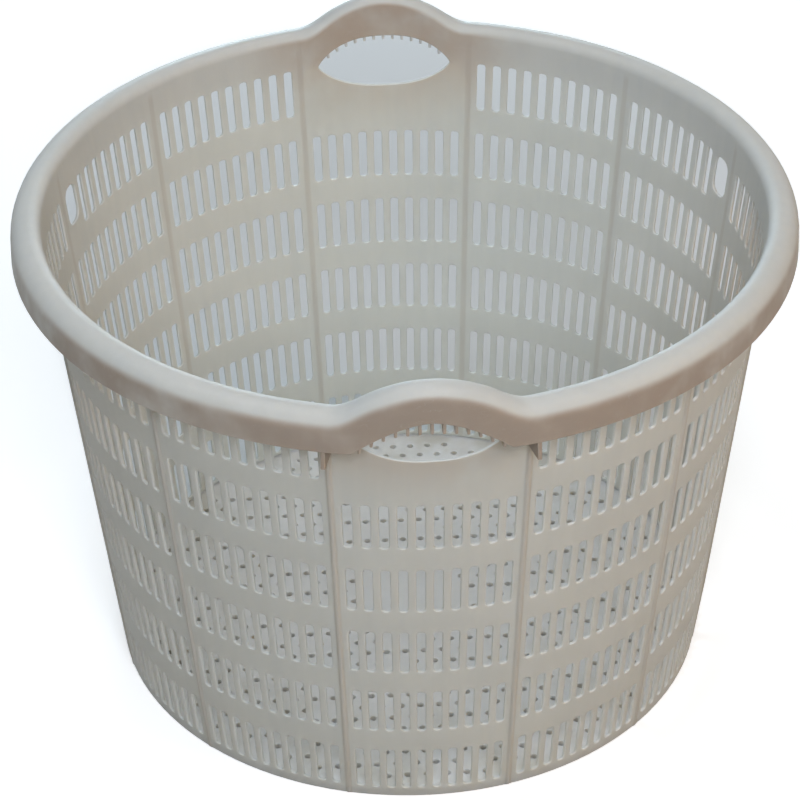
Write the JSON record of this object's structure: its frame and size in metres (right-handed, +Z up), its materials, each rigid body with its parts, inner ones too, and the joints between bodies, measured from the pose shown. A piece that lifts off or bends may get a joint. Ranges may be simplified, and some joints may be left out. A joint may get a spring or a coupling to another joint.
{
  "type": "draining cheese mould",
  "caption": "Round tapered plastic draining mould for curd, with a slotted wall, outer ribs, a pierced floor, a rolled lip and arched finger-hole handles at front and back.",
  "frame": {"origin": "centre of the base, on the surface the mould stands on", "axes": "+Z up along the mould's axis, -Y towards the front handle, +X to the right seen from the front"},
  "size_m": [0.44, 0.4384, 0.308],
  "materials": {
    "milky_plastic": "satin moulded polyethylene, milky off-white"
  },
  "bodies": {
    "root": {"drain_floor": "milky_plastic", "wall_panel_01": "milky_plastic", "wall_panel_02": "milky_plastic", "wall_panel_03": "milky_plastic", "wall_panel_04": "milky_plastic", "wall_panel_05": "milky_plastic", "wall_panel_06": "milky_plastic", "wall_panel_07": "milky_plastic", "wall_panel_08": "milky_plastic", "wall_panel_09": "milky_plastic", "wall_panel_10": "milky_plastic", "wall_panel_11": "milky_plastic", "wall_panel_12": "milky_plastic", "outer_rib_01": "milky_plastic", "outer_rib_02": "milky_plastic", "outer_rib_03": "milky_plastic", "outer_rib_04": "milky_plastic", "outer_rib_05": "milky_plastic", "outer_rib_06": "milky_plastic", "outer_rib_07": "milky_plastic", "outer_rib_08": "milky_plastic", "outer_rib_09": "milky_plastic", "outer_rib_10": "milky_plastic", "outer_rib_11": "milky_plastic", "outer_rib_12": "milky_plastic", "wide_slot_frame_1": "milky_plastic", "wide_slot_frame_2": "milky_plastic", "wide_slot_frame_3": "milky_plastic", "wide_slot_frame_4": "milky_plastic", "rim_right": "milky_plastic", "rim_left": "milky_plastic", "front_handle": "milky_plastic", "back_handle": "milky_plastic"}
  },
  "joints": []
}
